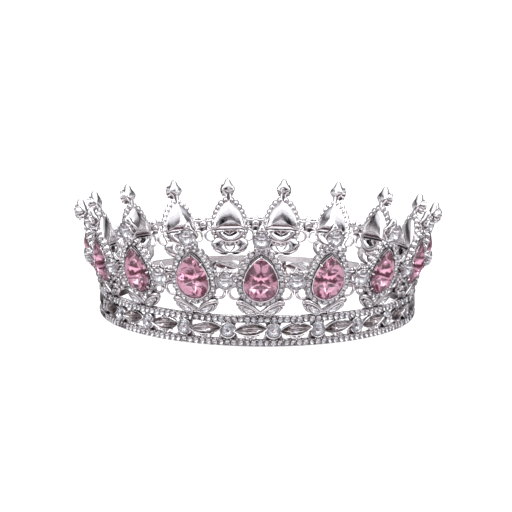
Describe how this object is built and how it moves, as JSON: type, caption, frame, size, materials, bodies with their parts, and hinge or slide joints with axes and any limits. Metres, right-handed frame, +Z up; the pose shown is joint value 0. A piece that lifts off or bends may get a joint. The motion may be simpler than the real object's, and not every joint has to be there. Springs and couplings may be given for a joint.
{
  "type": "crown",
  "caption": "Full-round pageant crown: openwork stone-set band, and leaning crest panels with pear stones and pointed finials.",
  "frame": {"origin": "on the crown's axis, in the plane of the band's flat bottom edge", "axes": "+Z up along the crown's axis; -Y through the middle of crest_panel_01, the front; +X to the right as seen from the front"},
  "size_m": [0.156, 0.1555, 0.0486],
  "materials": {
    "silver_plate": "bright silver-coloured plating on a cast alloy, polished",
    "rose_crystal": "faceted rose pink crystal with a silver foil back",
    "clear_crystal": "faceted clear crystal with a silver foil back"
  },
  "bodies": {
    "root": {"band": "silver_plate", "lower_rhinestone_chain": "clear_crystal", "upper_rhinestone_chain": "clear_crystal", "crest_panel_01": "silver_plate", "crest_panel_02": "silver_plate", "crest_panel_03": "silver_plate", "crest_panel_04": "silver_plate", "crest_panel_05": "silver_plate", "crest_panel_06": "silver_plate", "crest_panel_07": "silver_plate", "crest_panel_08": "silver_plate", "crest_panel_09": "silver_plate", "crest_panel_10": "silver_plate", "crest_panel_11": "silver_plate", "crest_panel_12": "silver_plate", "crest_panel_13": "silver_plate", "crest_panel_14": "silver_plate", "crest_panel_15": "silver_plate", "crest_panel_16": "silver_plate", "crest_panel_17": "silver_plate", "pear_stone_01": "rose_crystal", "pear_stone_02": "rose_crystal", "pear_stone_03": "rose_crystal", "pear_stone_04": "rose_crystal", "pear_stone_05": "rose_crystal", "pear_stone_06": "rose_crystal", "pear_stone_07": "rose_crystal", "pear_stone_08": "rose_crystal", "pear_stone_09": "rose_crystal", "pear_stone_10": "rose_crystal", "pear_stone_11": "rose_crystal", "pear_stone_12": "rose_crystal", "pear_stone_13": "rose_crystal", "pear_stone_14": "rose_crystal", "pear_stone_15": "rose_crystal", "pear_stone_16": "rose_crystal", "pear_stone_17": "rose_crystal", "finial_stone_01": "clear_crystal", "finial_stone_02": "clear_crystal", "finial_stone_03": "clear_crystal", "finial_stone_04": "clear_crystal", "finial_stone_05": "clear_crystal", "finial_stone_06": "clear_crystal", "finial_stone_07": "clear_crystal", "finial_stone_08": "clear_crystal", "finial_stone_09": "clear_crystal", "finial_stone_10": "clear_crystal", "finial_stone_11": "clear_crystal", "finial_stone_12": "clear_crystal", "finial_stone_13": "clear_crystal", "finial_stone_14": "clear_crystal", "finial_stone_15": "clear_crystal", "finial_stone_16": "clear_crystal", "finial_stone_17": "clear_crystal"}
  },
  "joints": []
}
